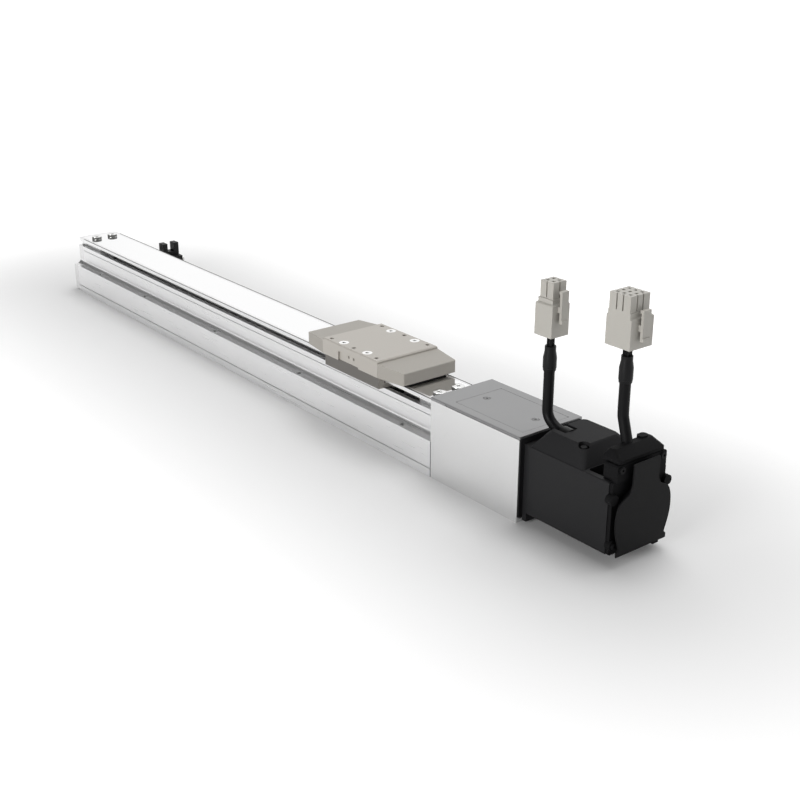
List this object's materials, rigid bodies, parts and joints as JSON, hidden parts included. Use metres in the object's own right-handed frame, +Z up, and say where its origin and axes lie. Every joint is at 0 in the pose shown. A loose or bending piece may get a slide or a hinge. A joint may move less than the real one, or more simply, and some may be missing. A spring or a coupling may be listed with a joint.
{
  "type": "screw slide table",
  "caption": "Motor-driven ball screw slide table: slim aluminium profile with side slots, fixed bright cover strip, sliding table, drive housing and small servo motor with two leads.",
  "frame": {"origin": "middle of the overall length, centred across the profile, on the flat underside that bolts down", "axes": "+X along the slide from the far end plate towards the motor, +Z up away from the mounting surface, +Y towards the side with the slot sensor"},
  "size_m": [0.6482, 0.0659, 0.1421],
  "materials": {
    "anodised_aluminium": "fine matt anodised",
    "grey_cover": "fine grey paint on sheet metal",
    "bright_strip": "bright rolled stainless strip",
    "cap_resin": "moulded light grey resin",
    "insert_finish": "pale thread insert",
    "ground_steel": "ground and hardened",
    "screw_steel": "plated socket screws",
    "black_steel": "black finish",
    "coupling_aluminium": "turned",
    "spider_rubber": "moulded elastomer",
    "rubber": "matt",
    "seal_plastic": "moulded",
    "motor_black": "satin black cast aluminium",
    "black_plastic": "moulded black plastic",
    "core_steel": "stacked plates and magnets",
    "encoder_glass": "coated glass disc",
    "lead_jacket": "round black jacket",
    "sleeve": "shrink sleeve",
    "wire": "thin insulated wires",
    "plug_nylon": "natural off-white nylon"
  },
  "bodies": {
    "frame": {"access_cover": "grey_cover", "back_guide_rail": "ground_steel", "backing_plate": "black_steel", "base_profile": "anodised_aluminium", "bearing_retainer": "anodised_aluminium", "cover_screws": "screw_steel", "cover_strip": "bright_strip", "drive_bearing_block": "anodised_aluminium", "drive_bearing_outers": "ground_steel", "drive_housing": "anodised_aluminium", "encoder_cap": "motor_black", "encoder_cover": "motor_black", "encoder_lead": "lead_jacket", "encoder_plug": "plug_nylon", "encoder_sleeve": "sleeve", "encoder_wires": "wire", "end_plate_screws": "screw_steel", "far_bearing_block": "anodised_aluminium", "far_bearing_outer": "ground_steel", "far_end_plate": "anodised_aluminium", "front_guide_rail": "ground_steel", "housing_top_cover": "grey_cover", "lead_clip": "black_plastic", "motor_bearing_outers": "ground_steel", "motor_flange": "motor_black", "motor_screws": "screw_steel", "power_hood": "motor_black", "power_lead": "lead_jacket", "power_plug": "plug_nylon", "power_sleeve": "sleeve", "power_wires": "wire", "rubber_stops": "rubber", "sensor_bracket": "black_steel", "sensor_screws": "screw_steel", "shaft_seal": "rubber", "slot_sensor": "black_plastic", "stator_body": "motor_black", "stator_core": "core_steel", "top_cover": "anodised_aluminium"},
    "table": {"carriage": "anodised_aluminium", "ball_nut": "ground_steel", "carriage_seals": "seal_plastic", "table_plate": "anodised_aluminium", "thread_inserts": "insert_finish", "table_screws": "screw_steel", "far_end_cap": "cap_resin", "near_end_cap": "cap_resin", "strip_wipers": "rubber", "sensor_flag": "black_steel"},
    "drive_train": {"ball_screw": "ground_steel", "lock_nut": "black_steel", "screw_hub": "coupling_aluminium", "coupling_spider": "spider_rubber", "motor_hub": "coupling_aluminium", "motor_shaft": "ground_steel", "rotor": "core_steel", "encoder_disc": "encoder_glass", "far_bearing_inner": "ground_steel", "drive_bearing_inners": "ground_steel", "motor_bearing_inners": "ground_steel"}
  },
  "joints": [
    {"name": "table_slide", "type": "slide", "parent": "frame", "child": "table", "axis": [1, 0, 0], "range_m": [-0.34, 0.01]},
    {"name": "screw_spin", "type": "hinge", "parent": "frame", "child": "drive_train", "pos_m": [0, 0, 0.0268], "axis": [1, 0, 0], "range_deg": [-200, 6140]}
  ],
  "couplings": [
    {"joint": "screw_spin", "follows": "table_slide", "rad_per_m": -314.16}
  ]
}
